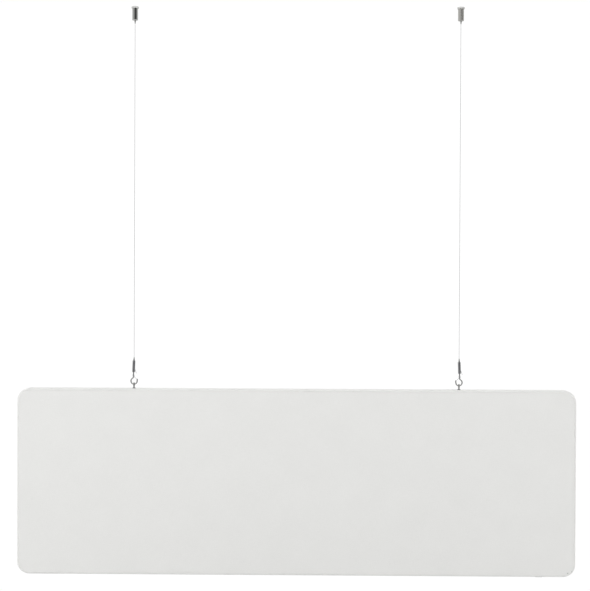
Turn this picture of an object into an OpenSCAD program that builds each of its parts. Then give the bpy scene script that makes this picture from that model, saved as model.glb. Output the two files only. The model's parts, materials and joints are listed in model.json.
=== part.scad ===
// Hanging acoustic panel: a fabric covered board that hangs from the ceiling
// on two thin steel wires, each held by a wire gripper at both of its ends.
// X runs along the panel, the front of the panel faces -Y and Z points up.
// The origin lies on the ceiling, midway between the two ceiling fixings.

/* [Panel] */
// Width of the panel
panel_w = 1800; // [1500:50:2400]
// Height of the panel
panel_h = 600; // [450:10:900]
// Thickness of the panel over its cover
panel_t = 40; // [36:1:60]
// Radius of the panel's corners, seen from the front
corner_r = 40; // [30:1:55]
// Radius of the soft edge between a face and the side
edge_r = 6.5; // [5.5:0.5:8]
// Thickness of the fabric cover
cover_t = 1.2; // [0.8:0.1:1.6]
// Thickness of the wadding between the cover and the frame
pad_t = 3.8; // [2.5:0.1:5]
// Width of the wooden frame's members, seen from the front
rail_w = 40; // [36:1:60]
// Length of a corner block along each of its two arms
corner_arm = 62; // [56:1:90]
// Radius inside the elbow of a corner block
elbow_r = 10; // [4:1:16]
// Diameter of the dowels in the frame's joints
dowel_d = 8; // [6:0.5:10]
// Length of the dowels in the frame's joints
dowel_l = 40; // [30:1:46]

/* [Zip] */
// Distance from a panel end to the end of the zip
zip_inset = 100; // [96:1:200]
// Width of the zip tape
tape_w = 22; // [18:1:24]
// Thickness of the zip tape
tape_t = 0.8; // [0.5:0.1:1]
// Width of the closed row of teeth
teeth_w = 4.8; // [4:0.1:5.4]
// Thickness of the closed row of teeth
teeth_t = 1.4; // [1:0.1:1.6]
// Length of the slider
slider_l = 12; // [9:0.5:16]
// Length of the pull tab, from its pin to its end
pull_l = 18; // [12:0.5:24]
// Width of the pull tab
pull_w = 5; // [4:0.1:6]

/* [Hanging] */
// Distance from a panel end to the nearest wire
wire_inset = 375; // [250:5:450]
// Free length of wire between the mouths of its two grippers
wire_free = 1076; // [600:1:1500]
// Diameter of the wire
wire_d = 1.2; // [1:0.1:1.5]
// Height from the top of the panel to the centre of an eye
eye_height = 10.8; // [9.6:0.1:14]

/* [Ceiling fixing] */
// Diameter of the flange on the ceiling
flange_d = 24.5; // [22:0.5:32]
// Thickness of the flange on the ceiling
flange_t = 5; // [4:0.5:7]
// Diameter of the hole for the ceiling screw
screw_hole_d = 4.5; // [3.5:0.1:5.5]
// Diameter of the barrel
barrel_d = 19; // [18:0.1:21]
// Length of the barrel
barrel_l = 38; // [37:0.5:50]
// Thickness of the barrel's wall
barrel_wall = 1.5; // [1:0.1:2]
// Thickness of the barrel's floor
barrel_floor = 3; // [2:0.1:4]
// Length of the threaded spigot that the barrel screws on to
spigot_l = 12; // [8:0.5:13]

/* [Gripper] */
// Diameter of the gripper's body
grip_d = 9; // [8.8:0.1:10]
// Length of the upper part of the body, which holds the clamp
grip_l = 19; // [18.5:0.1:24]
// Length of the lower part of the body, with the wire's side exit
tail_l = 16; // [15.5:0.1:20]
// Length of the nozzle outside the body
nozzle_l = 11.5; // [9:0.5:15]
// Diameter of the plunger
plunger_d = 5.8; // [5.6:0.1:6]
// Diameter of the nozzle's tip
tip_d = 2.4; // [2.2:0.1:3]
// Diameter of a clamp ball
ball_d = 2.4; // [2.3:0.1:2.4]
// Travel of the plunger
plunger_travel = 3; // [2:0.1:3.2]
// Half angle of the clamp's cone, in degrees
cone_angle = 7; // [6:0.5:8]
// Wire diameter of the clamp spring
spring_wire = 0.7; // [0.5:0.1:0.8]
// Angle at which the spare wire leaves the gripper, in degrees
exit_angle = 22; // [20:1:24]
// Length of spare wire outside the gripper
spare_l = 13; // [8:1:30]

/* [Hook and eye] */
// Diameter of the hook's wire
hook_d = 4; // [3.6:0.1:4.2]
// Radius of the hook's bowl at the middle of its wire
bowl_r = 10.1; // [9.5:0.1:12]
// Sideways step from the hook's stem to the middle of its bowl
stem_step = 2.6; // [2:0.1:3]
// Radius of the bend between stem and bowl
neck_r = 6; // [5:0.5:7]
// Straight length of stem under the gripper
stem_l = 15.2; // [13:0.1:20]
// Straight length at the hook's tip
tip_l = 5.8; // [4:0.1:6.2]
// Diameter of the keeper's spring wire
keeper_d = 1; // [0.8:0.1:1.1]
// Turns of the keeper around the stem
keeper_turns = 3; // [2:1:4]
// Diameter of the eye's wire
eye_d = 4; // [3.6:0.1:4.2]
// Radius of the eye at the middle of its wire
eye_r = 6.5; // [6.2:0.1:8]
// Diameter of the collar under the eye
collar_d = 9; // [8:0.1:10]
// Diameter of the eye's threaded shank
shank_d = 6; // [5:0.5:6.5]
// Length of the eye's threaded shank
shank_l = 20; // [14:1:28]
// Wall of the brass insert that takes the shank
insert_wall = 2; // [1.5:0.1:2.5]

/* [Hidden] */
LEFT = -1;
RIGHT = 1;
$fn = 48;

// Clearances: a sliding fit, a fit of fixed pieces and a free gap
slide_fit = 0.05;
seat_fit = 0.05;
free_gap = 0.3;
joint_gap = 0.2;
// Extra length of a cutting tool past the face that it cuts
past = 1;
// How far a ring runs into the body that it is one piece with
bite = 0.2;
// How much fatter a bead is than the bent wire whose stretches it joins
bead = 0.02;
wire_play = 0.25;
wire_r = wire_d / 2;
wire_bore_r = wire_r + wire_play;

// Ceiling base: depth of the screw's countersink and wall of the spigot
countersink = 1.6;
spigot_wall = 2.5;

// Heights, counted down from the ceiling
barrel_foot_z = -flange_t - barrel_l;
upper_mouth_z = barrel_foot_z - nozzle_l;
lower_mouth_z = upper_mouth_z - wire_free;
wire_x = panel_w / 2 - wire_inset;

// Wire pivots: a bent wire is cut there, with a round end inside a short gap
pivot_gap = wire_r + joint_gap;
root_l = 3;

// Clamp in a gripper, measured from the front face of its body
nut_l = 2;
grip_total = grip_l + tail_l + nut_l;
plunger_r = plunger_d / 2;
plunger_in = 8;
nozzle_foot = 0.6;
tip_wall = 0.3;
tip_edge = 0.1;
cage_z = -4.8;
ball_r = ball_d / 2;
ball_place_r = wire_r + seat_fit + ball_r;
pocket_r = ball_r + slide_fit;
mouth_r = plunger_r + slide_fit;
cone_at_ball_r = ball_place_r + (ball_r + seat_fit) / cos(cone_angle);
cone_start_z = cage_z + (cone_at_ball_r - mouth_r) / tan(cone_angle);
cone_end_z = -plunger_in - plunger_travel;
cone_end_r = mouth_r + (cone_start_z - cone_end_z) * tan(cone_angle);
plug_l = 4;
plug_top_z = -grip_l + plug_l;
spring_r = 2.3;
spring_l = -plunger_in - plug_top_z - 2 * seat_fit;
spring_turns = 4;
cap_t = 2;
wire_stub = 2;
grip_flange_r = barrel_d / 2 - barrel_wall - free_gap;
grip_flange_t = 3;
chamfer = 0.4;

// Path of the spare wire through the lower gripper
bend_r = 10;
bend_z = plug_top_z - 0.5;
bend_out = bend_r * (1 - cos(exit_angle));
bend_down = bend_r * sin(exit_angle);
slant_l = (grip_d / 2 - bend_out) / sin(exit_angle);

// Swivel between gripper and hook
stem_r = hook_d / 2;
head_lip = 1.2;
head_r = stem_r + head_lip;
head_t = 2.6;
swivel_r = head_r + free_gap;
nut_plug_l = 2;
nut_top_z = -grip_l - tail_l + nut_plug_l;
swivel_top_z = nut_top_z + head_t + 2 * free_gap;

// Hook, measured from the middle of its bowl
neck_angle = acos(-(stem_step + neck_r) / (bowl_r + neck_r));
neck_x = (bowl_r + neck_r) * cos(neck_angle);
neck_z = (bowl_r + neck_r) * sin(neck_angle);
bowl_drop = grip_total + stem_l + neck_z;
mouth_to_bowl = nozzle_l + bowl_drop;
// The gripper and hook lean so that the bowl hangs right under the mouth
lean = atan(stem_step / mouth_to_bowl);
bowl_z = lower_mouth_z - mouth_to_bowl / cos(lean);

// Keeper of the hook: its turns on the stem, and its arm from pivot to rest
keeper_r = keeper_d / 2;
coil_play = 0.25;
coil_space = 0.5;
coil_lift = 0.3;
coil_r = stem_r + keeper_r + coil_play;
coil_pitch = keeper_d + coil_space;
pivot_lift = 0.6;
tip_lift = 0.9;
keeper_pivot = [coil_r - stem_step, neck_z + pivot_lift];
keeper_rest = [bowl_r - stem_r - keeper_r - joint_gap, tip_l + tip_lift];

// Eye and panel
ring_r = eye_d / 2;
ring_z = bowl_z - bowl_r + stem_r + ring_r + joint_gap - eye_r;
panel_top_z = ring_z - eye_height;
panel_mid_z = panel_top_z - panel_h / 2;
frame_gap = 0.5;
frame_inset = cover_t + frame_gap;
frame_t = panel_t - 2 * (cover_t + pad_t);
frame_w = panel_w - 2 * frame_inset;
frame_h = panel_h - 2 * frame_inset;
rail_l = frame_w - 2 * corner_arm;
stile_l = frame_h - 2 * corner_arm;
collar_flare = 0.6;
collar_top = eye_r + ring_r - collar_flare;
seat_drop = eye_height + frame_inset;
insert_r = shank_d / 2 + seat_fit + insert_wall;
insert_floor = 1;
insert_l = shank_l + past + insert_floor;
dowel_r = dowel_d / 2;
dowel_step = 9;

// Zip, measured inward from the underside of the panel
zip_half = panel_w / 2 - zip_inset;
teeth_proud = 0.9;
neck_w = 1.8;
lip_t = 0.8;
neck_h = lip_t + 2 * free_gap;
tape_face = teeth_t - teeth_proud + neck_h;
teeth_end = zip_half - 1;
slider_wall = 1.2;
slider_plate = 1;
slider_w = teeth_w + 2 * (free_gap + slider_wall);
slider_t = slider_plate + teeth_t + 2 * free_gap + lip_t;
zip_slot_w = slider_w + 4 * free_gap;
rebate_w = tape_w + 1;
rebate_l = 2 * zip_half + 4;
rebate_d = tape_face + tape_t + free_gap;
stop_l = 4;
slider_park = teeth_end - stop_l - slider_l / 2;

// Pull tab, on a pin between two ears near the slider's end
pull_t = 0.9;
pin_r = 0.5;
pin_inset = 2;
pin_lift = 1.1;
pin_drop = teeth_proud + free_gap + slider_plate + pin_lift;
ear_r = 1.3;
ear_t = 1;
ear_gap = 3.2;
pin_x = slider_l / 2 - pin_inset;
pull_neck_w = ear_gap - 2 * joint_gap;
neck_in = 0.7;
neck_out = 3;
blade_start = 2.4;

FABRIC = "#E4E5E2";
NICKEL = "#A9ABAC";
CHROME = "#8E9092";
STEEL = "#7C7E80";
WIRE = "#B9BBBC";
BRASS = "#B08D4C";
WOOD = "#D9B98A";
FELT = "#D5D6D2";
WADDING = "#ECEDEA";
ZIP = "#D8D9D5";

// A turned part, from the outline of one half of its section
module turned(outline) {
    rotate_extrude() polygon(outline);
}

// A rounded oblong, drawn about its middle
module rounded_oblong(w, h, r) {
    square([w - 2 * r, h], center = true);
    square([w, h - 2 * r], center = true);
    for (x = [-1, 1])
        for (y = [-1, 1])
            translate([x * (w / 2 - r), y * (h / 2 - r)])
                circle(r);
}

// Stands a drawing up in the plane of the panel, t thick, from y = from_y
module upright(from_y, t) {
    translate([0, from_y + t, 0])
        rotate([90, 0, 0])
            linear_extrude(t)
                children();
}

// Rings of points along a coil that climbs by pitch each turn
function coil_point(a, r, pitch) = [r * cos(a), r * sin(a), pitch * a / 360];
function coil_ring(a, r, pitch, wire, sides) =
    let (
        slope = atan(pitch / (2 * PI * r)),
        out = [cos(a), sin(a), 0],
        up = [sin(a) * sin(slope), -cos(a) * sin(slope), cos(slope)]
    )
    [for (i = [0 : sides - 1])
        coil_point(a, r, pitch)
        + wire * (cos(i * 360 / sides) * out + sin(i * 360 / sides) * up)];

// Least gap between one turn and the next, measured on points of the coil
function coil_gap(r, pitch, wire) =
    min([for (b = [300 : 5 : 420])
        norm(coil_point(b, r, pitch) - coil_point(0, r, pitch))]) - 2 * wire;

// A coil spring that stands on z = 0, as one unbroken tube
module coil(r, wire, turns, height) {
    sides = 6;
    steps_a_turn = 8;
    steps = steps_a_turn * turns;
    pitch = (height - 2 * wire) / turns;
    rings = [for (k = [0 : steps])
        coil_ring(360 * k / steps_a_turn, r, pitch, wire, sides)];
    points = [for (ring = rings) for (p = ring) p + [0, 0, wire]];
    walls = [for (k = [0 : steps - 1]) for (i = [0 : sides - 1])
        let (j = (i + 1) % sides, a = k * sides)
        each [[a + i, a + sides + i, a + j], [a + j, a + sides + i, a + sides + j]]];
    start = [for (i = [1 : sides - 2]) [0, i, i + 1]];
    last = steps * sides;
    end = [for (i = [1 : sides - 2]) [last, last + i + 1, last + i]];
    polyhedron(points, concat(start, walls, end), convexity = 8);
}

echo("least gap of the clamp spring, mm",
    coil_gap(spring_r, (spring_l - spring_wire) / spring_turns, spring_wire / 2));
echo("least gap of the keeper coil, mm", coil_gap(coil_r, coil_pitch, keeper_r));

// Places: a gripper is drawn with its front face on z = 0 and its nozzle up
module at_wire(side) {
    translate([side * wire_x, 0, 0]) children();
}

module at_upper_gripper(side) {
    at_wire(side) translate([0, 0, barrel_foot_z]) rotate([180, 0, 0]) children();
}

module at_lower_gripper(side) {
    at_wire(side)
        translate([0, 0, lower_mouth_z])
            rotate([0, -side * lean, 0])
                translate([0, 0, -nozzle_l])
                    children();
}

// The right hook is the same hook, turned half round
module at_hook(side) {
    at_lower_gripper(side)
        rotate([0, 0, side == LEFT ? 0 : 180])
            translate([stem_step, 0, -bowl_drop])
                children();
}

module at_eye(side) {
    at_wire(side) translate([0, 0, ring_z]) children();
}

module in_panel() {
    translate([0, 0, panel_mid_z]) children();
}

// Ceiling base: a flange with a threaded spigot, screwed to the ceiling
module ceiling_base(side) {
    spigot_r = barrel_d / 2 - barrel_wall - seat_fit;
    well_r = spigot_r - spigot_wall;
    hole_r = screw_hole_d / 2;
    at_wire(side) color(CHROME)
        turned([
            [hole_r, 0], [flange_d / 2 - chamfer, 0], [flange_d / 2, -chamfer],
            [flange_d / 2, -flange_t + 2 * chamfer],
            [flange_d / 2 - 2 * chamfer, -flange_t], [spigot_r, -flange_t],
            [spigot_r, -flange_t - spigot_l + chamfer],
            [spigot_r - chamfer, -flange_t - spigot_l],
            [well_r, -flange_t - spigot_l], [well_r, -flange_t],
            [hole_r + countersink, -flange_t], [hole_r, countersink - flange_t]
        ]);
}

// Barrel: the bright sleeve that screws on to the base and holds the gripper
module barrel(side) {
    outer = barrel_d / 2;
    bore = outer - barrel_wall;
    hole = grip_d / 2 + seat_fit;
    at_wire(side) color(CHROME)
        turned([
            [bore, -flange_t], [outer - chamfer, -flange_t],
            [outer, -flange_t - chamfer], [outer, barrel_foot_z + 2 * chamfer],
            [outer - 2 * chamfer, barrel_foot_z], [hole, barrel_foot_z],
            [hole, barrel_foot_z + barrel_floor], [bore, barrel_foot_z + barrel_floor]
        ]);
}

// Space inside a gripper's body: the mouth, the clamp's cone and the spring's bore
module clamp_space() {
    turned([
        [0, past], [mouth_r, past], [mouth_r, cone_start_z],
        [cone_end_r, cone_end_z], [cone_end_r, -grip_l - past], [0, -grip_l - past]
    ]);
}

// Body of a gripper, with the clamp's cone inside
module gripper_shell() {
    r = grip_d / 2;
    difference() {
        turned([
            [0, 0], [r - chamfer, 0], [r, -chamfer], [r, -grip_l], [0, -grip_l]
        ]);
        clamp_space();
    }
}

// Upper gripper: its flange rests on the barrel's floor
module upper_gripper(side) {
    at_upper_gripper(side) color(STEEL)
        union() {
            gripper_shell();
            difference() {
                translate([0, 0, -barrel_floor - grip_flange_t])
                    cylinder(r = grip_flange_r, h = grip_flange_t);
                cylinder(r = grip_d / 2 - bite, h = 4 * grip_l, center = true);
            }
        }
}

module upper_cap(side) {
    r = grip_d / 2;
    at_upper_gripper(side) color(STEEL)
        turned([
            [wire_bore_r, plug_top_z], [cone_end_r - seat_fit, plug_top_z],
            [cone_end_r - seat_fit, -grip_l], [r, -grip_l], [r, -grip_l - cap_t + chamfer],
            [r - chamfer, -grip_l - cap_t], [wire_bore_r, -grip_l - cap_t]
        ]);
}

// Plunger: a tapered nozzle outside, and a cage with three ball pockets inside
module plunger() {
    color(CHROME)
        difference() {
            turned([
                [wire_bore_r, nozzle_l], [tip_d / 2 - tip_edge, nozzle_l],
                [tip_d / 2, nozzle_l - tip_wall], [plunger_r, nozzle_foot],
                [plunger_r, -plunger_in], [wire_bore_r, -plunger_in]
            ]);
            for (turn = [0, 120, 240])
                rotate([0, 0, turn])
                    translate([0, 0, cage_z])
                        rotate([0, 90, 0])
                            cylinder(r = pocket_r, h = plunger_r + past);
        }
}

module clamp_balls() {
    color(STEEL)
        for (turn = [0, 120, 240])
            rotate([0, 0, turn])
                translate([ball_place_r, 0, cage_z])
                    sphere(ball_r);
}

// Clamp spring between the cage and the end plug
module clamp_spring() {
    color(WIRE)
        translate([0, 0, plug_top_z + seat_fit])
            coil(spring_r, spring_wire / 2, spring_turns, spring_l);
}

// End of the wire inside the ceiling fixing
module wire_end(side) {
    top = -grip_l - cap_t - wire_stub;
    at_upper_gripper(side) color(WIRE)
        translate([0, 0, top])
            cylinder(r = wire_r, h = nozzle_l - pivot_gap - top);
}

// Short stretch that bends at the upper mouth
module wire_root(side) {
    at_wire(side) color(WIRE)
        translate([0, 0, upper_mouth_z]) {
            sphere(wire_r);
            translate([0, 0, -root_l + pivot_gap])
                cylinder(r = wire_r, h = root_l - pivot_gap);
        }
}

// The long free wire
module wire(side) {
    foot = lower_mouth_z + pivot_gap;
    at_wire(side) color(WIRE) {
        translate([0, 0, upper_mouth_z - root_l])
            sphere(wire_r);
        translate([0, 0, foot])
            cylinder(r = wire_r, h = upper_mouth_z - root_l - foot);
    }
}

// Body of the lower gripper, its clamp part
module gripper_body(side) {
    at_lower_gripper(side) color(STEEL) gripper_shell();
}

// The spare wire's path: down the middle, round a bend and out of the side
module spare_path(r, beyond) {
    translate([bend_r, 0, bend_z])
        rotate([90, 0, 0])
            rotate([0, 0, 180])
                rotate_extrude(angle = exit_angle)
                    translate([bend_r, 0])
                        circle(r);
    translate([bend_out, 0, bend_z - bend_down])
        rotate([0, 180 - exit_angle, 0])
            cylinder(r = r, h = slant_l + beyond);
}

// Lower part of the gripper: spring seat, side exit and swivel chamber
module gripper_tail(side) {
    r = grip_d / 2;
    foot = -grip_l - tail_l;
    at_lower_gripper(side) color(STEEL)
        difference() {
            turned([
                [0, plug_top_z], [cone_end_r - seat_fit, plug_top_z],
                [cone_end_r - seat_fit, -grip_l], [r, -grip_l], [r, foot], [0, foot]
            ]);
            translate([0, 0, bend_z])
                cylinder(r = wire_bore_r, h = grip_l);
            spare_path(wire_bore_r, 3 * past);
            translate([0, 0, foot - past])
                cylinder(r = swivel_r, h = swivel_top_z - foot + past);
        }
}

// Threaded ring that keeps the hook's head in its chamber
module swivel_nut(side) {
    r = grip_d / 2;
    top = -grip_l - tail_l;
    bore = stem_r + slide_fit;
    at_lower_gripper(side) color(STEEL)
        turned([
            [bore, nut_top_z], [swivel_r - seat_fit, nut_top_z],
            [swivel_r - seat_fit, top], [r, top], [r, top - nut_l + chamfer],
            [r - chamfer, top - nut_l], [bore, top - nut_l]
        ]);
}

// Wire inside the lower gripper, with its spare end outside
module wire_tail(side) {
    at_lower_gripper(side) color(WIRE) {
        translate([0, 0, nozzle_l])
            sphere(wire_r);
        translate([0, 0, bend_z])
            cylinder(r = wire_r, h = nozzle_l - bend_z);
        spare_path(wire_r, spare_l);
        translate([bend_out, 0, bend_z - bend_down])
            sphere(wire_r + bead);
    }
}

// Hook of round wire: head, stem, neck bend, bowl and rounded tip
module hook(side) {
    stem_top = neck_z + stem_l + nut_l + nut_plug_l + joint_gap / 2;
    at_hook(side) color(NICKEL) {
        translate([-stem_step, 0, stem_top])
            cylinder(r = head_r, h = head_t);
        translate([-stem_step, 0, neck_z])
            cylinder(r = stem_r, h = stem_top - neck_z + head_t / 2);
        translate([neck_x, 0, neck_z])
            rotate([90, 0, 0])
                rotate([0, 0, neck_angle - 180])
                    rotate_extrude(angle = 180 - neck_angle)
                        translate([neck_r, 0])
                            circle(stem_r);
        for (joint = [
            [-stem_step, neck_z],
            bowl_r * [cos(neck_angle), sin(neck_angle)],
            [bowl_r, 0]
        ])
            translate([joint[0], 0, joint[1]])
                sphere(stem_r + bead);
        rotate([90, 0, 0])
            rotate([0, 0, neck_angle])
                rotate_extrude(angle = 360 - neck_angle)
                    translate([bowl_r, 0])
                        circle(stem_r);
        translate([bowl_r, 0, 0])
            cylinder(r = stem_r, h = tip_l);
        translate([bowl_r, 0, tip_l])
            sphere(stem_r);
    }
}

// Turns of the keeper's spring wire around the stem
module keeper_coil(side) {
    height = coil_pitch * keeper_turns + keeper_d;
    at_hook(side) color(STEEL)
        translate([-stem_step, 0, keeper_pivot[1] + keeper_r + coil_lift])
            coil(coil_r, keeper_r, keeper_turns, height);
}

// Arm of the keeper, which closes the hook's mouth and springs inward
module keeper(side) {
    run = keeper_rest - keeper_pivot;
    at_hook(side) color(STEEL)
        translate([keeper_pivot[0], 0, keeper_pivot[1]])
            rotate([0, atan2(run[0], run[1]), 0]) {
                sphere(keeper_r);
                cylinder(r = keeper_r, h = norm(run));
                translate([0, 0, norm(run)])
                    sphere(keeper_r);
            }
}

// Eye bolt: ring, flared collar and threaded shank
module eye_bolt(side) {
    collar_r = collar_d / 2;
    shank_r = shank_d / 2;
    at_eye(side) color(NICKEL) {
        rotate([0, 90, 0])
            rotate_extrude()
                translate([eye_r, 0])
                    circle(ring_r);
        turned([
            [0, -eye_r], [ring_r, -eye_r], [ring_r + collar_flare, -collar_top],
            [collar_r - collar_flare, -collar_top - collar_flare],
            [collar_r, -collar_top - 2 * collar_flare],
            [collar_r, -seat_drop], [shank_r, -seat_drop],
            [shank_r, -seat_drop - shank_l + chamfer],
            [shank_r - chamfer, -seat_drop - shank_l], [0, -seat_drop - shank_l]
        ]);
    }
}

// Brass insert in the top rail that takes the eye's shank
module insert(side) {
    bore = shank_d / 2 + seat_fit;
    at_eye(side) color(BRASS)
        turned([
            [bore, -seat_drop], [insert_r, -seat_drop], [insert_r, -seat_drop - insert_l],
            [0, -seat_drop - insert_l], [0, -seat_drop - shank_l - past],
            [bore, -seat_drop - shank_l - past]
        ]);
}

// Dowels across the joints of the frame, or the holes for them
module dowels(r, l) {
    for (x = [-1, 1]) for (z = [-1, 1]) for (step = [-1, 1]) {
        translate([
            x * rail_l / 2, 0,
            z * (frame_h / 2 - rail_w / 2 + step * dowel_step)
        ])
            rotate([0, 90, 0])
                cylinder(r = r, h = l, center = true);
        translate([
            x * (frame_w / 2 - rail_w / 2 + step * dowel_step), 0,
            z * stile_l / 2
        ])
            cylinder(r = r, h = l, center = true);
        translate([x * dowel_step, 0, z * (frame_h / 2 - rail_w)])
            cylinder(r = r, h = l, center = true);
    }
}

module dowel_holes() {
    dowels(dowel_r + seat_fit, dowel_l + 2 * free_gap);
}

// A rail of the frame, drawn in place along the top (+1) or bottom (-1)
module rail_blank(where) {
    translate([0, 0, where * (frame_h - rail_w) / 2])
        cube([rail_l, frame_t, rail_w], center = true);
}

module top_rail() {
    color(WOOD)
        difference() {
            in_panel()
                difference() {
                    rail_blank(1);
                    dowel_holes();
                }
            for (side = [LEFT, RIGHT])
                at_eye(side)
                    translate([0, 0, -seat_drop - insert_l])
                        cylinder(r = insert_r + seat_fit, h = insert_l + past);
        }
}

// Bottom rail, with a shallow rebate that clears the zip
module bottom_rail() {
    in_panel() color(WOOD)
        difference() {
            rail_blank(-1);
            dowel_holes();
            translate([0, 0, -panel_h / 2])
                cube([rebate_l, rebate_w, 2 * rebate_d], center = true);
        }
}

module end_stiles() {
    in_panel() color(WOOD)
        for (x = [-1, 1])
            difference() {
                translate([x * (frame_w - rail_w) / 2, 0, 0])
                    cube([rail_w, frame_t, stile_l], center = true);
                dowel_holes();
            }
}

module centre_stile() {
    in_panel() color(WOOD)
        difference() {
            cube([rail_w, frame_t, frame_h - 2 * rail_w], center = true);
            dowel_holes();
        }
}

// Four elbows that round the frame's corners
module corner_blocks() {
    in_panel() color(WOOD)
        for (x = [-1, 1]) for (z = [-1, 1])
            difference() {
                upright(-frame_t / 2, frame_t)
                    difference() {
                        intersection() {
                            rounded_oblong(frame_w, frame_h, corner_r - frame_inset);
                            translate([
                                x * (frame_w - corner_arm) / 2,
                                z * (frame_h - corner_arm) / 2
                            ])
                                square(corner_arm, center = true);
                        }
                        rounded_oblong(frame_w - 2 * rail_w, frame_h - 2 * rail_w, elbow_r);
                    }
                dowel_holes();
            }
}

module frame_dowels() {
    in_panel() color(WOOD) dowels(dowel_r, dowel_l);
}

// Two sound absorbing slabs, one each side of the centre stile
module core_slabs() {
    slab_w = frame_w / 2 - rail_w * 1.5 - 2 * free_gap;
    slab_h = frame_h - 2 * rail_w - 2 * free_gap;
    in_panel() color(FELT)
        for (x = [-1, 1])
            translate([x * (rail_w / 2 + free_gap + slab_w / 2), 0, 0])
                upright(-frame_t / 2, frame_t)
                    rounded_oblong(slab_w, slab_h, elbow_r + free_gap);
}

// Flat part of a face, inside the soft edge
module face_outline() {
    rounded_oblong(panel_w - 2 * edge_r, panel_h - 2 * edge_r, corner_r - edge_r);
}

module pad(from_y) {
    in_panel() color(WADDING) upright(from_y, pad_t) face_outline();
}

module cover_face(from_y) {
    in_panel() color(FABRIC) upright(from_y, cover_t) face_outline();
}

// Section of the edge band, x counted outward from the corner's centre
module band_section() {
    flat = panel_t / 2 - edge_r;
    translate([corner_r - cover_t, -flat])
        square([cover_t, 2 * flat]);
    for (y = [-1, 1])
        translate([corner_r - edge_r, y * flat])
            difference() {
                intersection() {
                    circle(edge_r);
                    translate([0, y > 0 ? 0 : -edge_r])
                        square(edge_r);
                }
                circle(edge_r - cover_t);
            }
}

// Sweeps the band's section once round the panel
module band() {
    straight_x = panel_w / 2 - corner_r;
    straight_z = panel_h / 2 - corner_r;
    for (x = [-1, 1]) for (z = [-1, 1])
        translate([x * straight_x, 0, z * straight_z])
            rotate([90, 0, 0])
                rotate([0, 0, x > 0 ? (z > 0 ? 0 : 270) : (z > 0 ? 90 : 180)])
                    rotate_extrude(angle = 90)
                        band_section();
    for (turn = [0, 180]) {
        rotate([0, turn, 0])
            translate([straight_x, 0, -straight_z])
                linear_extrude(2 * straight_z)
                    band_section();
        rotate([0, turn, 0])
            rotate([0, 90, 0])
                translate([straight_z, 0, -straight_x])
                    linear_extrude(2 * straight_x)
                        band_section();
    }
}

module cover_edge() {
    in_panel() color(FABRIC)
        difference() {
            band();
            for (x = [-1, 1])
                translate([x * wire_x, 0, panel_h / 2 - 2 * cover_t])
                    cylinder(r = collar_d / 2 + free_gap, h = 4 * cover_t);
            translate([0, 0, -panel_h / 2])
                cube([2 * zip_half, zip_slot_w, 4 * cover_t], center = true);
        }
}

// Draws a section of the zip along X: x across the panel, y inward from its underside
module along_zip(from_x, to_x) {
    translate([from_x, 0, -panel_h / 2])
        rotate([90, 0, 90])
            linear_extrude(to_x - from_x)
                children();
}

module zip_tape() {
    side_w = (tape_w - zip_slot_w) / 2;
    in_panel() color(ZIP)
        along_zip(-zip_half, zip_half) {
            translate([-tape_w / 2, tape_face])
                square([tape_w, tape_t]);
            for (x = [-tape_w / 2, tape_w / 2 - side_w])
                translate([x, cover_t])
                    square([side_w, tape_face + tape_t - cover_t]);
        }
}

// Closed teeth: a head on a narrower neck, with a stop at each end
module zip_chain() {
    in_panel() color(ZIP) {
        along_zip(-teeth_end, teeth_end) {
            translate([-teeth_w / 2, -teeth_proud])
                square([teeth_w, teeth_t]);
            translate([-neck_w / 2, 0])
                square([neck_w, tape_face]);
        }
        for (x = [-teeth_end, teeth_end - stop_l])
            along_zip(x, x + stop_l)
                translate([-teeth_w / 2 - slider_wall, -teeth_proud])
                    square([teeth_w + 2 * slider_wall, tape_face + teeth_proud]);
    }
}

// Slider: a channel folded round the teeth, with two ears for the pull's pin
module zip_slider() {
    in_panel() color(NICKEL)
        translate([slider_park, 0, 0]) {
            along_zip(-slider_l / 2, slider_l / 2)
                difference() {
                    translate([-slider_w / 2, -teeth_proud - free_gap - slider_plate])
                        square([slider_w, slider_t]);
                    translate([-teeth_w / 2 - free_gap, -teeth_proud - free_gap])
                        square([teeth_w + 2 * free_gap, teeth_t + 2 * free_gap]);
                    translate([-neck_w / 2 - free_gap, 0])
                        square([neck_w + 2 * free_gap, 2 * tape_face]);
                }
            for (y = [-1, 1])
                translate([pin_x, y * (ear_gap + ear_t) / 2, -panel_h / 2 - pin_drop])
                    difference() {
                        union() {
                            rotate([90, 0, 0])
                                cylinder(r = ear_r, h = ear_t, center = true);
                            translate([-ear_r, -ear_t / 2, 0])
                                cube([2 * ear_r, ear_t, pin_lift + bite]);
                        }
                        rotate([90, 0, 0])
                            cylinder(r = pin_r + slide_fit, h = 3 * ear_t, center = true);
                    }
        }
}

// Pull tab, lying along the slider on its pin
module zip_pull() {
    in_panel() color(NICKEL)
        translate([slider_park + pin_x, 0, -panel_h / 2 - pin_drop]) {
            rotate([90, 0, 0])
                cylinder(r = pin_r, h = ear_gap + 2 * ear_t, center = true);
            translate([0, 0, -pull_t / 2])
                linear_extrude(pull_t)
                    difference() {
                        union() {
                            translate([-neck_out, -pull_neck_w / 2])
                                square([neck_out + neck_in, pull_neck_w]);
                            translate([-pull_l + pull_w / 2, -pull_w / 2])
                                square([pull_l - pull_w / 2 - blade_start, pull_w]);
                            translate([-pull_l + pull_w / 2, 0])
                                circle(pull_w / 2);
                        }
                        translate([-pull_l + pull_w / 2, 0])
                            circle(pull_w / 4);
                    }
        }
}

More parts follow.
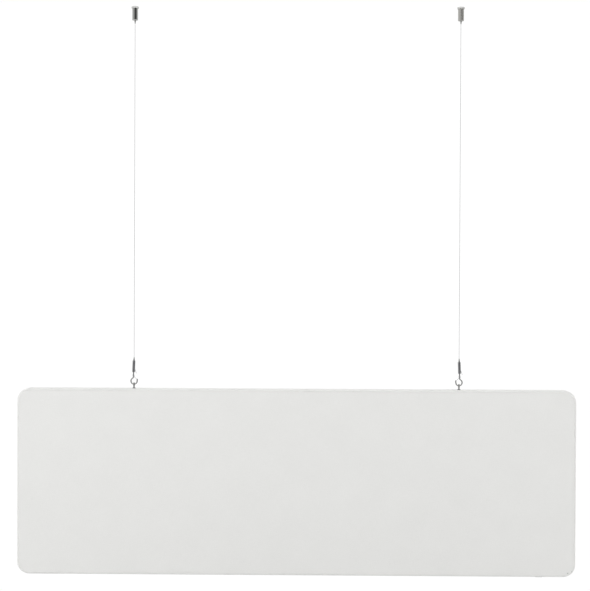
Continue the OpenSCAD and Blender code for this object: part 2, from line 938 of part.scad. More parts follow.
ceiling_base(LEFT);  // left_ceiling_base
ceiling_base(RIGHT);  // right_ceiling_base
barrel(LEFT);  // left_barrel
barrel(RIGHT);  // right_barrel
upper_gripper(LEFT);  // left_upper_gripper
upper_gripper(RIGHT);  // right_upper_gripper
upper_cap(LEFT);  // left_upper_cap
upper_cap(RIGHT);  // right_upper_cap
at_upper_gripper(LEFT) plunger();  // left_upper_plunger
at_upper_gripper(RIGHT) plunger();  // right_upper_plunger
at_upper_gripper(LEFT) clamp_balls();  // left_upper_balls
at_upper_gripper(RIGHT) clamp_balls();  // right_upper_balls
at_upper_gripper(LEFT) clamp_spring();  // left_upper_spring
at_upper_gripper(RIGHT) clamp_spring();  // right_upper_spring
wire_end(LEFT);  // left_wire_end
wire_end(RIGHT);  // right_wire_end
wire_root(LEFT);  // left_wire_root
wire_root(RIGHT);  // right_wire_root
wire(LEFT);  // left_wire
wire(RIGHT);  // right_wire
gripper_body(LEFT);  // left_gripper_body
gripper_body(RIGHT);  // right_gripper_body
gripper_tail(LEFT);  // left_gripper_tail
gripper_tail(RIGHT);  // right_gripper_tail
swivel_nut(LEFT);  // left_swivel_nut
swivel_nut(RIGHT);  // right_swivel_nut
at_lower_gripper(LEFT) plunger();  // left_lower_plunger
at_lower_gripper(RIGHT) plunger();  // right_lower_plunger
at_lower_gripper(LEFT) clamp_balls();  // left_lower_balls
at_lower_gripper(RIGHT) clamp_balls();  // right_lower_balls
at_lower_gripper(LEFT) clamp_spring();  // left_lower_spring
at_lower_gripper(RIGHT) clamp_spring();  // right_lower_spring
wire_tail(LEFT);  // left_wire_tail
wire_tail(RIGHT);  // right_wire_tail
hook(LEFT);  // left_hook
hook(RIGHT);  // right_hook
keeper_coil(LEFT);  // left_keeper_coil
keeper_coil(RIGHT);  // right_keeper_coil
keeper(LEFT);  // left_keeper
keeper(RIGHT);  // right_keeper
eye_bolt(LEFT);  // left_eye_bolt
eye_bolt(RIGHT);  // right_eye_bolt
insert(LEFT);  // left_insert
insert(RIGHT);  // right_insert
top_rail();
bottom_rail();
end_stiles();
centre_stile();
corner_blocks();
frame_dowels();
core_slabs();
pad(-panel_t / 2 + cover_t);  // front_pad
pad(panel_t / 2 - cover_t - pad_t);  // back_pad
cover_face(-panel_t / 2);  // cover_front
cover_face(panel_t / 2 - cover_t);  // cover_back
cover_edge();
zip_tape();
zip_chain();
zip_slider();
zip_pull();
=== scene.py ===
# %% [markdown]
# # A hanging acoustic panel
# A white cloth panel, 1.8 m wide, hangs on two thin steel wires from two small ceiling
# fixings. Its frame, metal parts and joints come ready made from the imported model, in
# metres, so this lesson only adds what cloth, thread and a camera need: the stranded
# wires, the sewn cover with its wadding, the zip's teeth, and a finish for every part.

# %% Load the model
import json
import math
import random

import bmesh
import bpy
from mathutils import Matrix, Vector, noise


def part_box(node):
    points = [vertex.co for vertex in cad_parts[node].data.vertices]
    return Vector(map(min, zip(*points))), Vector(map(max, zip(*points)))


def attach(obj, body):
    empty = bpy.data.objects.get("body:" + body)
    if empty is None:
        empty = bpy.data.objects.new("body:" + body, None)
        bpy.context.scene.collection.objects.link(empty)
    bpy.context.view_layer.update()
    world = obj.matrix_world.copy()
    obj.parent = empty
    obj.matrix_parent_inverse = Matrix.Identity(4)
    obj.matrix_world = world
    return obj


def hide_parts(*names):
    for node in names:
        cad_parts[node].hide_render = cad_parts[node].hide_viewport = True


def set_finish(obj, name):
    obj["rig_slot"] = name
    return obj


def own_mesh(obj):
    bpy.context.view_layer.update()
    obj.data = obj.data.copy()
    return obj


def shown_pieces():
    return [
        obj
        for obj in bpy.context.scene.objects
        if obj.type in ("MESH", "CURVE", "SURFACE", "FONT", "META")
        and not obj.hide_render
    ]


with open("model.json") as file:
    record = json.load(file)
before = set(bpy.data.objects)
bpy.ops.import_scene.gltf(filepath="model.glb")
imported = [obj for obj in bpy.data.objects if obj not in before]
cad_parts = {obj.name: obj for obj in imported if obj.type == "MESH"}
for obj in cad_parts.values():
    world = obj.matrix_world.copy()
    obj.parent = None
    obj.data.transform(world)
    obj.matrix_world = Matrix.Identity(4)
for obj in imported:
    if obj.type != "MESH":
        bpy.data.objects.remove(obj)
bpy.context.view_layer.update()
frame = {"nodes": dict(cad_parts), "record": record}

MM = 0.001

# %% [markdown]
# ## The camera
# The camera stands 3.7 m in front of the panel and 0.9 m below the ceiling, with a long
# lens that looks almost level. Its place and turn were found by matching the corners of
# the panel, the fixings and the hooks. A camera looks along its own -Z, so its matrix
# holds three directions as columns: right, up, and backwards.

# %% Put the camera where the photograph was taken
EYE = Vector((0.0288, -3.7, -0.8952))
YAW, PITCH, ROLL = 0.009234, -0.009144, 0.004301
FOCAL_PX, HIGH_PX = 1145.7, 591


def new_object(name, data):
    """A new object in the scene."""
    obj = bpy.data.objects.new(name, data)
    bpy.context.collection.objects.link(obj)
    return obj


forward = Vector((
    -math.sin(YAW) * math.cos(PITCH),
    math.cos(YAW) * math.cos(PITCH),
    math.sin(PITCH),
))
level = Vector((math.cos(YAW), math.sin(YAW), 0))
over = level.cross(forward)
right = level * math.cos(ROLL) + over * math.sin(ROLL)
up = over * math.cos(ROLL) - level * math.sin(ROLL)

lens = bpy.data.cameras.new("camera")
lens.sensor_width = 36
lens.lens = FOCAL_PX * lens.sensor_width / HIGH_PX
camera = new_object("camera", lens)
camera.matrix_world = (
    Matrix.Translation(EYE) @ Matrix((right, up, -forward)).transposed().to_4x4()
)
bpy.context.scene.camera = camera
print("lens", round(lens.lens, 1), "mm")

# %% [markdown]
# ## From a bmesh to a piece
# Every new piece is shaped as a bmesh, Blender's editable mesh, with its place already in
# its points. One helper makes it an object at the origin that moves with one body of the
# model. Others repeat a mesh along a step, add a box, bevel edges, cut a row of edges and
# extrude a rim, because several pieces need the same steps.

# %% Make pieces
def mesh_of(name, made, mesh=None):
    """A bmesh becomes a smooth mesh, a new one or one that is there."""
    for face in made.faces:
        face.smooth = True
    mesh = mesh or bpy.data.meshes.new(name)
    made.to_mesh(mesh)
    made.free()
    return mesh


def piece(name, made, body, slot, stands_for=()):
    """A bmesh becomes an object that rides on a body and stands for some CAD nodes."""
    obj = new_object(name, mesh_of(name, made))
    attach(obj, body)
    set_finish(obj, slot)
    if stands_for:
        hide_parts(*stands_for)
    return obj


def modifier(obj, kind, **settings):
    """Adds a modifier with its settings."""
    added = obj.modifiers.new(kind.lower(), kind)
    for name, value in settings.items():
        setattr(added, name, value)
    return added


def repeat(obj, count, step, **settings):
    """Copies an object's mesh along a step, as part of the same mesh."""
    modifier(obj, "ARRAY", count=count, use_relative_offset=False, use_constant_offset=True,
             constant_offset_displace=step, **settings)
    seen = obj.evaluated_get(bpy.context.evaluated_depsgraph_get())
    obj.data = bpy.data.meshes.new_from_object(seen)
    obj.modifiers.clear()


# %% Shape a bmesh
NEAR = 0.01 * MM


def block(made, centre, size):
    """Adds a box and returns its edges."""
    new = bmesh.ops.create_cube(made, size=1, matrix=Matrix.Translation(centre)
                                @ Matrix.Diagonal((*size, 1)))["verts"]
    return list(dict.fromkeys(e for v in new for e in v.link_edges))


def soften(made, edges, width, segments):
    """Bevels edges to a round of some segments."""
    bmesh.ops.bevel(made, geom=edges, offset=width, segments=segments, profile=0.5,
                    affect="EDGES", material=-1)


def cut(made, spot, normal):
    """A straight row of edges all round a mesh, where a plane through a spot meets it."""
    bmesh.ops.bisect_plane(made, geom=made.verts[:] + made.edges[:] + made.faces[:],
                           dist=NEAR, plane_co=spot, plane_no=normal)


def rims(made, but=()):
    """The open edges of a mesh, without those that are named."""
    return [e for e in made.edges if e.is_boundary and e not in but]


def extrude(made, rim):
    """Extrudes a rim and returns its new points and its new edges."""
    new = bmesh.ops.extrude_edge_only(made, edges=rim)["geom"]
    return ([g for g in new if isinstance(g, bmesh.types.BMVert)],
            [g for g in new if isinstance(g, bmesh.types.BMEdge)])


# %% [markdown]
# ## The wires
# Each wire is a 1.2 mm strand of fine steel wires twisted together. One lay is the length
# in which they wind round once. A circle of points, every second one drawn in, is spun
# down its own axis with a screw motion, which cuts the grooves between the outer wires.
# Only one lay is spun, and an Array repeats it down the wire, which is much quicker than
# spinning a metre of it.

# %% Twist one lay of the strand
LAY, STEPS, POINTS, GROOVE = 8 * MM, 16, 12, 0.9
wire_low, wire_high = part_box("left_wire")
WIRE = wire_high.y - wire_low.y
WIRE_X = -(wire_low.x + wire_high.x) / 2
WIRE_TOP, WIRE_END, ROOT_TOP = -0.0575, -1.1305, -0.0545
ROUTE_STEPS = 20


def strand(long, lays, steps):
    """A piece of strand along -Z from the origin, wound round `lays` times."""
    made = bmesh.new()
    bmesh.ops.create_circle(made, segments=POINTS, radius=WIRE / 2)
    grooves = made.verts[:][::2]
    bmesh.ops.scale(made, vec=(GROOVE, GROOVE, 1), verts=grooves)
    bmesh.ops.spin(
        made, geom=made.verts[:] + made.edges[:], cent=(0, 0, 0), axis=(0, 0, 1),
        dvec=(0, 0, -long / steps), angle=2 * math.pi * lays, steps=steps,
    )
    return made


def round_ends(made, at, heights):
    """Closes a strand and rounds it with a small ball at each height."""
    bmesh.ops.holes_fill(made, edges=rims(made))
    for height in heights:
        bmesh.ops.create_uvsphere(
            made, u_segments=POINTS, v_segments=8, radius=WIRE / 2,
            matrix=Matrix.Translation((at, 0, height)),
        )
    bmesh.ops.recalc_face_normals(made, faces=made.faces)


# %% Hang the two wires
long_wire = WIRE_TOP - WIRE_END
lays = round(long_wire / LAY)
for side, at in (("left", -WIRE_X), ("right", WIRE_X)):
    wire = piece(f"{side}_wire_strand", strand(long_wire / lays, 1, STEPS), f"{side}_wire",
                 "steel_wire", [f"{side}_wire"])
    repeat(wire, lays, (0, 0, -long_wire / lays), use_merge_vertices=True, merge_threshold=NEAR)
    made = bmesh.new()
    made.from_mesh(wire.data)
    bmesh.ops.translate(made, vec=(at, 0, WIRE_TOP), verts=made.verts)
    round_ends(made, at, [WIRE_END])
    mesh_of(wire.name, made, wire.data)

    short = ROOT_TOP - WIRE_TOP
    made = strand(short, short / LAY, round(STEPS * short / LAY))
    bmesh.ops.translate(made, vec=(at, 0, ROOT_TOP), verts=made.verts)
    round_ends(made, at, [ROOT_TOP, WIRE_TOP])
    root = piece(f"{side}_wire_bend", made, "wire_roots", "steel_wire", [f"{side}_wire_root"])

    route = [(at, 0, WIRE_TOP - long_wire * i / ROUTE_STEPS) for i in range(ROUTE_STEPS + 1)]
    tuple(route[0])
    print(wire.name, len(wire.data.polygons), "faces,", round(long_wire, 3), "m")

# %% [markdown]
# ## The clamp springs
# Pushing a gripper's nozzle in frees the wire, and the coil spring behind it gives way by
# the same 3 mm. A rigid coil would stand in the way of the nozzle's cage, and a imported mesh
# may not change, so each coil is copied to a piece of its own. Each coil is copied to a piece
# of its own, and its length along the nozzle's way is measured.

# %% Copy the clamp springs
STROKE, WELD = 3 * MM, 0.001 * MM
joints = {joint["name"]: joint for joint in frame["record"]["behaviour"]["joints"]}
for name in [n for n in frame["nodes"] if n.endswith(("_upper_spring", "_lower_spring"))]:
    release = name.replace("spring", "release")
    way = Vector(joints[release]["axis"]).normalized()
    made = bmesh.new()
    made.from_mesh(bpy.data.objects[name].data)
    bmesh.ops.remove_doubles(made, verts=made.verts, dist=WELD)
    bmesh.ops.recalc_face_normals(made, faces=made.faces)
    reached = [way.dot(point.co) for point in made.verts]
    long = max(reached) - min(reached)
    body = "ceiling_fixings" if "upper" in name else name.replace("lower_spring", "gripper")
    coil = piece(f"{name}_coil", made, body, "spring_steel", [name])
    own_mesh(coil)
    print(coil.name, round(long / MM, 1), "mm long")

# %% [markdown]
# ## The cloth's rings
# The panel's outline is a rectangle with corners of 40 mm radius. Shrunk by those 40 mm it
# is a plain core rectangle, and every ring of the cover lies at one distance out from it:
# on the straight sides straight out, at the corners in an arc. So the cover is grown ring
# by ring: a rim of edges is extruded, and its new points are put at the next distance and
# depth. The same step makes the flat faces, the seam, the rolled edge and the sides.

# %% Grow a rim of cloth
edge_low, edge_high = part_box("cover_edge")
MIDDLE = (edge_low + edge_high) / 2
HALF = (edge_high - edge_low) / 2
CORNER, CORNER_STEPS = 40 * MM, 12
SEAM_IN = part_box("cover_front")[0].x - edge_low.x
CORE = Vector((HALF.x - CORNER, 0, HALF.z - CORNER))
SEAM_R = CORNER - SEAM_IN
SPLIT = 1 * MM


def at_ring(point, out, depth):
    """Where a point of the cloth lies on the ring that far out from the core."""
    core = Vector((
        max(-CORE.x, min(CORE.x, point.x)), 0, max(-CORE.z, min(CORE.z, point.z)),
    ))
    away = Vector((point.x, 0, point.z)) - core
    return core + away.normalized() * out + Vector((0, depth, 0))


def grow(made, rim, out, depth):
    """Extrudes a rim to its next ring and returns the new rim."""
    points, new_rim = extrude(made, rim)
    for point in points:
        point.co = at_ring(point.co, out, depth)
    return new_rim


def core_sheet(across, down, depth):
    """A grid just larger than the core, with its four corners cut round."""
    made = bmesh.new()
    size = Matrix.Diagonal((CORE.x + SPLIT, CORE.z + SPLIT, 1, 1))
    bmesh.ops.create_grid(
        made, x_segments=across, y_segments=down, size=1,
        matrix=Matrix.Translation((0, depth, 0)) @ Matrix.Rotation(math.pi / 2, 4, "X") @ size,
    )
    corners = [v for v in made.verts if len(v.link_edges) == 2]
    bmesh.ops.bevel(made, geom=corners, offset=SPLIT, segments=CORNER_STEPS, profile=0.5,
                    affect="VERTICES", material=-1)
    return made


print("core", [round(2000 * c, 1) for c in CORE], "mm, seam", round(SEAM_IN / MM, 1), "mm in")

# %% [markdown]
# ## Front and back faces
# Two flat pieces of cloth are stretched over soft wadding and sewn to the edge band. The
# seam pulls the cloth down a little along its line, and the thread gathers it between
# stitches, so the last rings dip and pucker. The pucker comes from two waves of noise, a
# long one and a short one, and fades out 15 mm from the seam. FACE_RINGS gives each ring's
# distance from the core and its depth, in millimetres. The thickness is a Solidify modifier
# that goes inwards. Cloth keeps its weave by a UV map in metres, measured on the flat piece.
# The back face is the front one turned over.

# %% Cut and stretch the faces
CLOTH_THICK = 1 * MM
FACE_PITCH, FACE_DIP, FACE_REACH = 8 * MM, 0.35 * MM, 15 * MM
WAVES = ((1.0, 55, 0.3), (0.5, 140, 7.3))
FACE_RINGS = [(12, 0), (19, 0), (24, 0), (27.5, 0.01), (30, 0.02), (31.6, 0.04), (32.6, 0.08),
              (33.1, 0.14), (33.36, 0.3), (33.45, 0.6), (33.47, 1.4)]


def pucker(point, reach):
    """How far the seam pulls the cloth in here, as a share of its depth."""
    out = (Vector((point.x, 0, point.z)) - at_ring(point, 0, 0)).length
    near = max(0.0, 1 - (SEAM_R - out) / reach)
    wave = sum(share * noise.noise(Vector((point.x, point.z, seed)) * often)
               for share, often, seed in WAVES)
    return near * near * wave


def flat_uv(made):
    """The weave's place, in metres, where the cloth lies flat."""
    layer = made.loops.layers.uv.new("weave")
    for face in made.faces:
        for loop in face.loops:
            loop[layer].uv = (loop.vert.co.x, loop.vert.co.z)


for side in ("front", "back"):
    made = core_sheet(round(2 * CORE.x / FACE_PITCH), round(2 * CORE.z / FACE_PITCH), -HALF.y)
    rim = rims(made)
    for out, deep in FACE_RINGS:
        rim = grow(made, rim, out * MM, deep * MM - HALF.y)
    flat_uv(made)
    for point in made.verts:
        point.co.y += FACE_DIP * pucker(point.co, FACE_REACH)
        point.co.y = max(point.co.y, -HALF.y)
    if side == "back":
        bmesh.ops.scale(made, vec=(1, -1, 1), verts=made.verts)
        bmesh.ops.reverse_faces(made, faces=made.faces)
    bmesh.ops.translate(made, vec=MIDDLE, verts=made.verts)
    area = sum(f.calc_area() for f in made.faces)
    cloth = piece(f"cover_{side}_cloth", made, "panel", "cover_fabric", [f"cover_{side}"])
    modifier(cloth, "SOLIDIFY", thickness=CLOTH_THICK, offset=-1)
    flat = (2 * (HALF.x - SEAM_IN), 2 * (HALF.z - SEAM_IN))
    print(cloth.name, len(cloth.data.polygons), "faces,", round(area, 3), "m2")

# %% [markdown]
# ## The edge band
# A long strip runs round the frame's edge and joins the two faces. It starts in the front
# seam, rolls over the wadding with a radius of 6.5 mm, crosses the edge flat, and ends in
# the back seam. It is grown from an empty loop of edges. SEAM_RINGS and FLAT_RINGS give a
# ring's distance from the core and from the panel's middle plane, and ROLL_TURNS gives the
# rings of the roll in degrees. At each eye bolt a square is cut out and filled again with
# rings that dip to the hole in the cloth: HOLE_RINGS gives each one's radius and depth in
# millimetres. At the bottom the zip's opening is cut, and its edges are turned in as a hem.

# %% Grow the edge band
BAND_PITCH, BAND_DIP, BAND_REACH = 5 * MM, 0.3 * MM, 6 * MM
ROLL_R = SEAM_IN
FLAT_Y = HALF.y - ROLL_R
SEAM_RINGS = [(33.53 * MM, 18.4 * MM), (33.55 * MM, 19.3 * MM), (33.65 * MM, 19.75 * MM)]
ROLL_TURNS = (5, 12, 20, 29, 38, 47, 56, 65, 74, 82, 90)
FLAT_RINGS = [(CORNER, 9 * MM), (CORNER, 4.5 * MM)]
roll = [(SEAM_R + ROLL_R * math.sin(math.radians(a)), FLAT_Y + ROLL_R * math.cos(math.radians(a)))
        for a in ROLL_TURNS]
front_half = [*SEAM_RINGS, *roll, *FLAT_RINGS]
section = [(out, -depth) for out, depth in front_half]
section += [(out, depth) for out, depth in reversed(front_half)]

band = core_sheet(1, 1, section[0][1])
bmesh.ops.delete(band, geom=band.faces[:], context="FACES_ONLY")
for long_edge in [e for e in band.edges if e.calc_length() > 10 * BAND_PITCH]:
    bmesh.ops.subdivide_edges(band, edges=[long_edge],
                              cuts=round(long_edge.calc_length() / BAND_PITCH) - 1)
for point in band.verts:
    point.co = at_ring(point.co, *section[0])
rim = band.edges[:]
for out, depth in section[1:]:
    rim = grow(band, rim, out, depth)
bmesh.ops.recalc_face_normals(band, faces=band.faces)
if sum(f.normal.dot(f.calc_center_median()) for f in band.faces) < 0:
    bmesh.ops.reverse_faces(band, faces=band.faces)
print("band", len(band.faces), "faces in", len(section) - 1, "strips")

# %% Open the band for the eye bolts and the zip
PATCH = 13 * MM
HOLE_RINGS = [(9, 0), (7.6, 0.02), (6.7, 0.06), (5.8, 0.14), (5.1, 0.28), (4.65, 0.42)]
DIP_WIDE, DIP_FLAT, RAIL_Y, RAIL_FADE = 7 * MM, 0.2, 14.5 * MM, 3 * MM
ZIP_HALF, ZIP_GAP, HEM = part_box("zip_tape")[1].x, 4.5 * MM, 1.4 * MM
FACING = 0.99


def dip(point):
    """How far an eye bolt draws the cloth down: a little on the rail, more on the roll."""
    aside = (abs(point.x) - WIRE_X) / DIP_WIDE
    above_seam = max(0.0, 1 + (point.z - HALF.z) / ROLL_R)
    past_rail = max(0.0, min(1.0, (abs(point.y) - RAIL_Y) / RAIL_FADE))
    return (DIP_FLAT + past_rail) * MM * above_seam * math.exp(-aside ** 2)


for x in (WIRE_X - PATCH, WIRE_X + PATCH, ZIP_HALF):
    for sign in (-1, 1):
        cut(band, (sign * x, 0, 0), (1, 0, 0))

for x in (-WIRE_X, WIRE_X):
    square = [f for f in band.faces if abs(f.calc_center_median().x - x) < PATCH
              and abs(f.calc_center_median().y) < FLAT_Y and f.normal.z > FACING]
    before = set(rims(band))
    bmesh.ops.delete(band, geom=square, context="FACES")
    bmesh.ops.subdivide_edges(band, edges=rims(band, before), cuts=1)
    ring = rims(band, before)
    for out, deep in HOLE_RINGS:
        points, ring = extrude(band, ring)
        for point in points:
            away = Vector((point.co.x - x, point.co.y, 0)).normalized()
            point.co = Vector((x, 0, HALF.z - deep * MM)) + away * out * MM

for point in band.verts:
    point.co.z -= dip(point.co)

slit = [f for f in band.faces if abs(f.calc_center_median().x) < ZIP_HALF
        and abs(f.calc_center_median().y) < ZIP_GAP and f.normal.z < -FACING]
before = set(rims(band))
bmesh.ops.delete(band, geom=slit, context="FACES")
turned_in, _ = extrude(band, rims(band, before))
bmesh.ops.translate(band, vec=(0, 0, HEM), verts=turned_in)
print("openings cut, band", len(band.faces), "faces")

# %% [markdown]
# The band's weave follows the strip as it was cut: one way along its length, which goes
# once round the panel, the other across it, over the roll. A face that spans the join of
# the strip's two ends gets its low side raised by one whole turn.

# %% Lay the weave along the band
ROUND = 4 * (CORE.x + CORE.z) + 2 * math.pi * CORNER
SEAM_TAKES, PUCKER_FROM = 4 * MM, FLAT_Y + 2 * MM
TINY = 1e-4


def along_band(point):
    """Metres along the strip and across it at a point of the band."""
    core = at_ring(point, 0, 0)
    away = Vector((point.x, 0, point.z)) - core
    turn = math.atan2(round(away.x, 6), round(away.z, 6)) % (2 * math.pi)
    quarter = min(3, int(turn / (math.pi / 2) + TINY / 100))
    if abs(turn / (math.pi / 2) - quarter) > TINY:
        walked = [2 * CORE.x, 2 * CORE.x + 2 * CORE.z, 4 * CORE.x + 2 * CORE.z,
                  4 * (CORE.x + CORE.z)]
    else:
        walked = [core.x + CORE.x, 2 * CORE.x + CORE.z - core.z,
                  3 * CORE.x + 2 * CORE.z - core.x, 4 * CORE.x + 3 * CORE.z + core.z]
    lean = math.atan2(max(0.0, abs(point.y) - FLAT_Y), away.length - SEAM_R)
    across = math.copysign(min(abs(point.y), FLAT_Y) + ROLL_R * lean, point.y)
    return walked[quarter] + CORNER * turn, across


layer = band.loops.layers.uv.new("weave")
for face in band.faces:
    spots = [along_band(loop.vert.co) for loop in face.loops]
    highest = max(u for u, _ in spots)
    for loop, (u, v) in zip(face.loops, spots):
        loop[layer].uv = (u + (ROUND if highest - u > ROUND / 2 else 0), v)

for point in band.verts:
    shift = BAND_DIP * pucker(point.co, BAND_REACH)
    if abs(point.co.y) > PUCKER_FROM:
        point.co.y -= math.copysign(abs(shift), point.co.y)
bmesh.ops.translate(band, vec=MIDDLE, verts=band.verts)
band_area = sum(f.calc_area() for f in band.faces)
band = piece("cover_edge_cloth", band, "panel", "cover_fabric", ["cover_edge"])
modifier(band, "SOLIDIFY", thickness=CLOTH_THICK, offset=-1)
flat = (ROUND, 2 * (FLAT_Y + ROLL_R * math.pi / 2) + SEAM_TAKES)
print("strip", [round(s, 3) for s in flat], "m, sewn area", round(band_area, 3), "m2")

# %% [markdown]
# ## Wadding and slabs
# Under each face lies a thin layer of lofted polyester wadding, and the frame's openings
# hold pressed polyester slabs, which absorb the sound. Both are blocks whose edges are
# soft, so a box is bevelled wide, divided, and its points are moved a little by a noise.

# %% Fill the panel
SHARP, SKIN = 1.0, 60


def soft_block(low, high, edge, cell, ruffle, corner=0.0):
    """A soft-edged block between two corners, with an uneven skin and round corners."""
    made = bmesh.new()
    edges = block(made, (low + high) / 2, high - low)
    if corner:
        posts = [e for e in edges if abs(e.verts[0].co.y - e.verts[1].co.y) > MM]
        soften(made, posts, corner, CORNER_STEPS)
    soften(made, [e for e in made.edges if e.calc_face_angle() > SHARP], edge, 3)
    for axis, normal in ((0, Vector((1, 0, 0))), (2, Vector((0, 0, 1)))):
        count = round((high[axis] - low[axis]) / cell)
        for i in range(1, count):
            cut(made, normal * (low[axis] + (high[axis] - low[axis]) * i / count), normal)
    bmesh.ops.recalc_face_normals(made, faces=made.faces)
    made.normal_update()
    for point in made.verts:
        point.co += point.normal * ruffle * (noise.noise(point.co * SKIN) - 0.5)
    return made


INSET = 2 * MM
for name in ("front_pad", "back_pad"):
    low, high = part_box(name)
    gap = Vector((INSET, 0, INSET))
    made = soft_block(low + gap, high - gap, edge=1.6 * MM, cell=20 * MM, ruffle=0.3 * MM,
                      corner=SEAM_R - INSET)
    wadding = piece(f"{name}_wadding", made, "panel", "polyester_wadding", [name])

low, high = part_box("core_slabs")
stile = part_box("centre_stile")
for name, ends in (("left_slab", (low.x, stile[0].x)), ("right_slab", (stile[1].x, high.x))):
    slab = piece(name, soft_block(Vector((ends[0] + MM, low.y, low.z + MM)),
                                  Vector((ends[1] - MM, high.y, high.z - MM)),
                                  edge=3 * MM, cell=30 * MM, ruffle=0.4 * MM),
                 "panel", "polyester_slab", ["core_slabs"])
    print(name, [round(c / MM) for c in slab.dimensions], "mm")

# %% [markdown]
# ## Stitches
# A stitch is one short length of thread that dips into the cloth at both ends: a low ball
# of six sides, drawn long. The same stitch is copied for the bar tack that locks the
# cover's seam at the lower right corner, for the eyelets that keep the two holes from
# fraying, and by an Array for the rows beside the zip. TACKS gives each bar tack's place
# round the corner in degrees, its distance from the corner's centre in millimetres, and
# its number of stitches.

# %% Sew
THREAD, TACK_THREAD, TACK_PITCH = 0.45 * MM, 0.6 * MM, 0.5 * MM
TACKS = ((-61.0, 30.2, 9), (-38.0, 34.4, 4))
TACK_LONG, TACK_VARIES, TACK_LEAN, TACK_OUT = 3, 0.5, 0.12, 0.1 * MM
EYELET_R, EYELET_STITCHES, EYELET_RISE = 5.75 * MM, 36, 0.17
EYELET_LONG, EYELET_VARIES, EYELET_SUNK = 2, 0.15, 0.1 * MM
STITCH_STEP, STITCH_LONG, ROW_Y = 3 * MM, 2.5 * MM, 6.2 * MM


def stitch(made, spot, run, long, thick=THREAD):
    """One stitch, centred on a spot and lying along a run."""
    turn = run.to_track_quat("X", "Z").to_matrix().to_4x4()
    size = Matrix.Diagonal((long / 2, thick / 2, thick / 2, 1))
    bmesh.ops.create_uvsphere(made, u_segments=6, v_segments=5, radius=1,
                              matrix=Matrix.Translation(spot) @ turn @ size)


random.seed(7)
tack = bmesh.new()
for degrees, radius, count in TACKS:
    angle = math.radians(degrees)
    across = Vector((math.cos(angle), 0, math.sin(angle)))
    along = Vector((-math.sin(angle), 0, math.cos(angle)))
    heart = MIDDLE + Vector((CORE.x, 0, -CORE.z)) + across * radius * MM
    heart.y = MIDDLE.y - HALF.y - TACK_OUT
    for i in range(count):
        lean = TACK_LEAN * (random.random() - 0.5)
        long = (TACK_LONG + TACK_VARIES * random.random()) * MM
        stitch(tack, heart + along * (i - (count - 1) / 2) * TACK_PITCH,
               across + along * lean, long, TACK_THREAD)
piece("corner_tack", tack, "panel", "cover_fabric")

for side, x in (("left", -WIRE_X), ("right", WIRE_X)):
    eyelet = bmesh.new()
    for i in range(EYELET_STITCHES):
        turn = 2 * math.pi * i / EYELET_STITCHES
        out = Vector((math.cos(turn), math.sin(turn), EYELET_RISE))
        spot = Vector((x + out.x * EYELET_R, out.y * EYELET_R, HALF.z))
        spot.z -= dip(spot) + EYELET_SUNK
        long = (EYELET_LONG + EYELET_VARIES * random.random()) * MM
        stitch(eyelet, MIDDLE + spot, out, long, 0.8 * THREAD)
    piece(f"{side}_eyelet", eyelet, "panel", "cover_fabric")

row = bmesh.new()
for y in (-ROW_Y, ROW_Y):
    stitch(row, Vector((-ZIP_HALF - STITCH_STEP / 2, y, edge_low.z - 0.02 * MM)),
           Vector((1, 0, 0)), STITCH_LONG)
row = piece("zip_topstitch", row, "panel", "cover_fabric")
repeat(row, round(2 * ZIP_HALF / STITCH_STEP) + 2, (STITCH_STEP, 0, 0))
print("stitches", len(row.data.polygons) // 30, "beside the zip")

# %% [markdown]
# ## The zip's teeth
# Moulded teeth sit every 2 mm on each tape's edge and reach over to hold the other side.
# One pair is bevelled from two blocks, and an Array repeats it 795 times, so each tooth
# has only a few dozen faces. They stand on a bead, and a stop closes each end, just clear
# of the slider.

# %% Mould the teeth
chain_low, chain_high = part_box("zip_chain")
TEETH_W, TEETH_T, TEETH_STEP, STOP = 4.8 * MM, 1.4 * MM, 2 * MM, 3.9 * MM
TOOTH_LONG, OVERLAP, BEAD_W = 0.86 * MM, 0.6 * MM, 1.7 * MM
TOOTH_EDGE, BEAD_EDGE, STOP_EDGE = 0.2 * MM, 0.25 * MM, 0.4 * MM
teeth_z = chain_low.z + TEETH_T / 2
chain = chain_high - chain_low

pair = bmesh.new()
start = chain_low.x + STOP + TEETH_STEP / 2
reach = TEETH_W / 2 + OVERLAP
for sign in (-1, 1):
    centre = (start + sign * TEETH_STEP / 4, sign * (TEETH_W - reach) / 2, teeth_z)
    soften(pair, block(pair, centre, (TOOTH_LONG, reach, TEETH_T)), TOOTH_EDGE, 1)
teeth = piece("zip_teeth", pair, "panel", "zip_nylon", ["zip_chain"])
repeat(teeth, round((chain.x - 2 * STOP) / TEETH_STEP), (TEETH_STEP, 0, 0))

ends = bmesh.new()
bead = block(ends, (0, 0, (teeth_z + chain_high.z) / 2),
             (chain.x - MM, BEAD_W, chain_high.z - teeth_z))
soften(ends, bead, BEAD_EDGE, 2)
for sign in (-1, 1):
    centre = (sign * (chain_high.x - STOP / 2), 0, (chain_low.z + chain_high.z) / 2)
    soften(ends, block(ends, centre, (STOP, chain.y, chain.z)), STOP_EDGE, 2)
piece("zip_stops", ends, "panel", "zip_nylon", ["zip_chain"])
print("teeth", len(teeth.data.polygons), "faces")

# %% [markdown]
# ## Working with materials
# Colours are written as the hex values that a screen shows, and one function turns them
# to the linear numbers that light adds up in. One function adds a node with its settings
# and links, and three short ones do sums and mix numbers or colours. A finish starts from
# Blender's Principled shader, with everything that is the same all over the surface set on
# the shader itself.

# %% Colours and nodes
def linear(hex_colour):
    """An sRGB hex colour as linear red, green, blue and alpha."""
    parts = [int(hex_colour[i:i + 2], 16) / 255 for i in (0, 2, 4)]
    return (*[p / 12.92 if p <= 0.04045 else ((p + 0.055) / 1.055) ** 2.4 for p in parts], 1)


